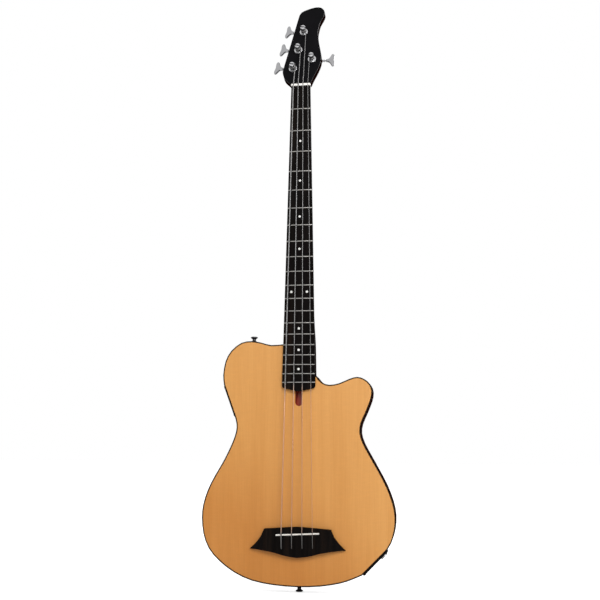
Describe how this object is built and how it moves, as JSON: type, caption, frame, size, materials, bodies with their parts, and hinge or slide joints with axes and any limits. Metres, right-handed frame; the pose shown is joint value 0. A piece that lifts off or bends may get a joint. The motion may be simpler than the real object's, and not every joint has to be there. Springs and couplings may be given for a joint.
{
  "type": "acoustic bass guitar",
  "caption": "Long-scale acoustic-electric bass guitar with a thin closed body, one cutaway, fretted neck, worm-geared tuners and side controls.",
  "frame": {"origin": "back of the neck behind the nut's front edge, on the centre line, where a wall hanger's fork bears", "axes": "+Z from the tail to the headstock, -Y out of the front face, +X to the treble side"},
  "size_m": [0.3588, 0.0653, 1.1597],
  "materials": {
    "spruce": "straight-grained spruce under a clear satin lacquer",
    "mahogany": "dark red-brown stained mahogany under gloss lacquer",
    "ebony": "oiled ebony",
    "black_lacquer": "wood veneer under black gloss lacquer",
    "black_binding": "black binding strip",
    "bone": "polished bone",
    "chrome": "polished chrome plate",
    "nickel_silver": "polished nickel silver wire",
    "string_steel": "round-wound steel strings",
    "dark_steel": "black-nickel plated steel",
    "brass": "thin brass strip",
    "black_plastic": "moulded black plastic"
  },
  "bodies": {
    "root": {"body": "mahogany", "neck": "mahogany", "soundboard": "spruce", "binding": "black_binding", "headstock_veneer": "black_lacquer", "fretboard": "ebony", "nut": "bone", "truss_rod": "dark_steel", "bridge": "ebony", "saddle": "bone", "saddle_pickup": "brass", "fret_01": "nickel_silver", "fret_02": "nickel_silver", "fret_03": "nickel_silver", "fret_04": "nickel_silver", "fret_05": "nickel_silver", "fret_06": "nickel_silver", "fret_07": "nickel_silver", "fret_08": "nickel_silver", "fret_09": "nickel_silver", "fret_10": "nickel_silver", "fret_11": "nickel_silver", "fret_12": "nickel_silver", "fret_13": "nickel_silver", "fret_14": "nickel_silver", "fret_15": "nickel_silver", "fret_16": "nickel_silver", "fret_17": "nickel_silver", "fret_18": "nickel_silver", "fret_19": "nickel_silver", "fret_20": "nickel_silver", "string_e": "string_steel", "string_a": "string_steel", "string_d": "string_steel", "string_g": "string_steel", "tuner_bushing_e": "chrome", "tuner_plate_e": "chrome", "tuner_bushing_a": "chrome", "tuner_plate_a": "chrome", "tuner_bushing_d": "chrome", "tuner_plate_d": "chrome", "tuner_bushing_g": "chrome", "tuner_plate_g": "chrome", "strap_button_tail": "dark_steel", "strap_button_shoulder": "dark_steel", "preamp": "black_plastic", "output_plate": "black_plastic", "jack_socket": "chrome"},
    "truss_rod_nut": {"truss_rod_nut": "dark_steel"},
    "tuner_post_e": {"tuner_post_e": "chrome"},
    "tuner_key_e": {"tuner_key_e": "chrome"},
    "tuner_post_a": {"tuner_post_a": "chrome"},
    "tuner_key_a": {"tuner_key_a": "chrome"},
    "tuner_post_d": {"tuner_post_d": "chrome"},
    "tuner_key_d": {"tuner_key_d": "chrome"},
    "tuner_post_g": {"tuner_post_g": "chrome"},
    "tuner_key_g": {"tuner_key_g": "chrome"},
    "volume_knob": {"volume_knob": "black_plastic"},
    "tone_knob": {"tone_knob": "black_plastic"},
    "battery_drawer": {"battery_drawer": "black_plastic"}
  },
  "joints": [
    {"name": "tuner_key_e_turn", "type": "hinge", "parent": "root", "child": "tuner_key_e", "pos_m": [-0.01547, 0.01063, 0.04788], "axis": [-0.9764, 0.0375, 0.2127], "continuous": true},
    {"name": "tuner_post_e_turn", "type": "hinge", "parent": "root", "child": "tuner_post_e", "pos_m": [-0.01754, -0.01143, 0.04225], "axis": [0, -0.9848, 0.1736], "continuous": true},
    {"name": "tuner_key_a_turn", "type": "hinge", "parent": "root", "child": "tuner_key_a", "pos_m": [-0.00573, 0.01828, 0.09124], "axis": [-0.9764, 0.0375, 0.2127], "continuous": true},
    {"name": "tuner_post_a_turn", "type": "hinge", "parent": "root", "child": "tuner_post_a", "pos_m": [-0.0078, -0.00379, 0.08561], "axis": [0, -0.9848, 0.1736], "continuous": true},
    {"name": "tuner_key_d_turn", "type": "hinge", "parent": "root", "child": "tuner_key_d", "pos_m": [0.00401, 0.02592, 0.13461], "axis": [-0.9764, 0.0375, 0.2127], "continuous": true},
    {"name": "tuner_post_d_turn", "type": "hinge", "parent": "root", "child": "tuner_post_d", "pos_m": [0.00194, 0.00386, 0.12898], "axis": [0, -0.9848, 0.1736], "continuous": true},
    {"name": "tuner_key_g_turn", "type": "hinge", "parent": "root", "child": "tuner_key_g", "pos_m": [0.0206, 0.01421, 0.06817], "axis": [1, 0, 0], "continuous": true},
    {"name": "tuner_post_g_turn", "type": "hinge", "parent": "root", "child": "tuner_post_g", "pos_m": [0.0206, -0.00789, 0.06232], "axis": [0, -0.9848, 0.1736], "continuous": true},
    {"name": "truss_rod_nut_turn", "type": "hinge", "parent": "root", "child": "truss_rod_nut", "pos_m": [0, -0.0092, -0.5963], "axis": [0, 0, 1], "range_deg": [-180, 180]},
    {"name": "volume_turn", "type": "hinge", "parent": "root", "child": "volume_knob", "pos_m": [-0.13562, 0.0115, -0.61218], "axis": [-0.936, 0, -0.3521], "range_deg": [-300, 0]},
    {"name": "tone_turn", "type": "hinge", "parent": "root", "child": "tone_knob", "pos_m": [-0.12646, 0.0115, -0.63651], "axis": [-0.936, 0, -0.3521], "range_deg": [-150, 150]},
    {"name": "battery_drawer_slide", "type": "slide", "parent": "root", "child": "battery_drawer", "axis": [0.7036, 0, -0.7106], "range_m": [0, 0.045]}
  ],
  "couplings": [
    {"joint": "tuner_post_e_turn", "follows": "tuner_key_e_turn", "ratio": -0.05},
    {"joint": "tuner_post_a_turn", "follows": "tuner_key_a_turn", "ratio": -0.05},
    {"joint": "tuner_post_d_turn", "follows": "tuner_key_d_turn", "ratio": -0.05},
    {"joint": "tuner_post_g_turn", "follows": "tuner_key_g_turn", "ratio": 0.05}
  ]
}
